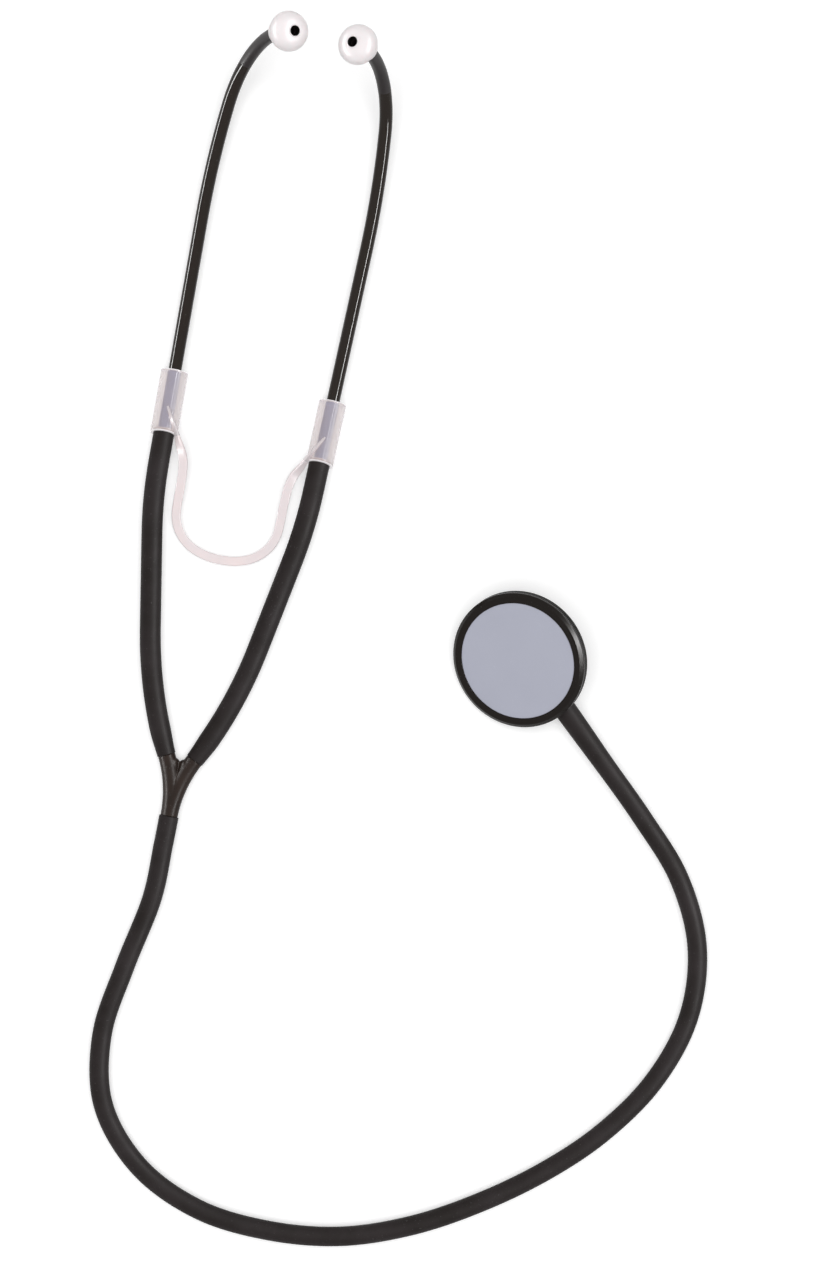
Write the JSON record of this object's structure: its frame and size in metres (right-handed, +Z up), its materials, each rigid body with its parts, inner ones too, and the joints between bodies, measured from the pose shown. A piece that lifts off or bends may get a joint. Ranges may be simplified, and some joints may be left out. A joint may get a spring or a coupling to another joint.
{
  "type": "toy stethoscope",
  "caption": "Single-head stethoscope lying face up: a round chest piece on a long soft hose, a Y-shaped fork and two sprung arms with bent ear tubes and soft ear tips.",
  "frame": {"origin": "on the table, under the middle of the box round everything but the free main hose", "axes": "+Y from the chest piece towards the ear tips, +X to the right of the picture, +Z up from the table"},
  "size_m": [0.2054, 0.406, 0.0472],
  "materials": {
    "hose": "matte charcoal rubber",
    "fork": "glossy brown-black moulding",
    "sleeve": "milky translucent soft plastic",
    "strap": "milky soft plastic band",
    "ear_tube": "glossy black paint",
    "ear_tip": "soft white silicone",
    "head": "glossy black plastic",
    "stem": "plain turned metal",
    "diaphragm": "smooth blue-grey film"
  },
  "bodies": {
    "hub": {"y_connector": "fork", "left_branch_tube": "hose", "right_branch_tube": "hose", "tension_strap": "strap", "main_tube": "hose"},
    "left_arm": {"left_collar": "sleeve"},
    "right_arm": {"right_collar": "sleeve"},
    "left_ear": {"left_ear_tube": "ear_tube"},
    "right_ear": {"right_ear_tube": "ear_tube"},
    "left_tip": {"left_ear_tip": "ear_tip"},
    "right_tip": {"right_ear_tip": "ear_tip"},
    "chest_piece": {"chest_stem": "stem", "chest_body": "head"},
    "film": {"diaphragm": "diaphragm"},
    "ring": {"retaining_ring": "head"}
  },
  "joints": [
    {"name": "left_spread", "type": "hinge", "parent": "hub", "child": "left_arm", "pos_m": [-0.07128, -0.05314, 0.00405], "axis": [-0.0018, -0.0093, 1], "range_deg": [0, 20], "stiffness_Nm_per_rad": 0.4, "deforming": ["left_branch_tube", "tension_strap"]},
    {"name": "right_spread", "type": "hinge", "parent": "hub", "child": "right_arm", "pos_m": [-0.03174, -0.06097, 0.00405], "axis": [0.0018, 0.0093, -1], "range_deg": [0, 20], "stiffness_Nm_per_rad": 0.4, "deforming": ["right_branch_tube", "tension_strap"]},
    {"name": "left_swivel", "type": "hinge", "parent": "left_arm", "child": "left_ear", "pos_m": [-0.06701, 0.00026, 0.00455], "axis": [-0.1736, -0.9848, -0.0095], "range_deg": [-5, 95]},
    {"name": "right_swivel", "type": "hinge", "parent": "right_arm", "child": "right_ear", "pos_m": [-0.01534, -0.00997, 0.00455], "axis": [0.2147, 0.9766, 0.0095], "range_deg": [-5, 95]},
    {"name": "left_tip_pull", "type": "slide", "parent": "left_ear", "child": "left_tip", "axis": [0.4844, -0.069, 0.8721], "range_m": [0, 0.008]},
    {"name": "right_tip_pull", "type": "slide", "parent": "right_ear", "child": "right_tip", "axis": [-0.392, 0.1024, 0.9143], "range_m": [0, 0.008]},
    {"name": "chest_swivel", "type": "hinge", "parent": "hub", "child": "chest_piece", "pos_m": [0.06445, -0.08851, 0.0064], "axis": [0.5835, -0.8121, 0], "continuous": true},
    {"name": "ring_lift", "type": "slide", "parent": "chest_piece", "child": "film", "axis": [-0.356, -0.2558, 0.8988], "range_m": [0, 0.00301]},
    {"name": "ring_turn", "type": "hinge", "parent": "film", "child": "ring", "pos_m": [0.05024, -0.0752, 0.01413], "axis": [-0.356, -0.2558, 0.8988], "range_deg": [0, 1080]}
  ],
  "couplings": [
    {"joint": "ring_lift", "follows": "ring_turn", "m_per_rad": 0.00015915}
  ]
}
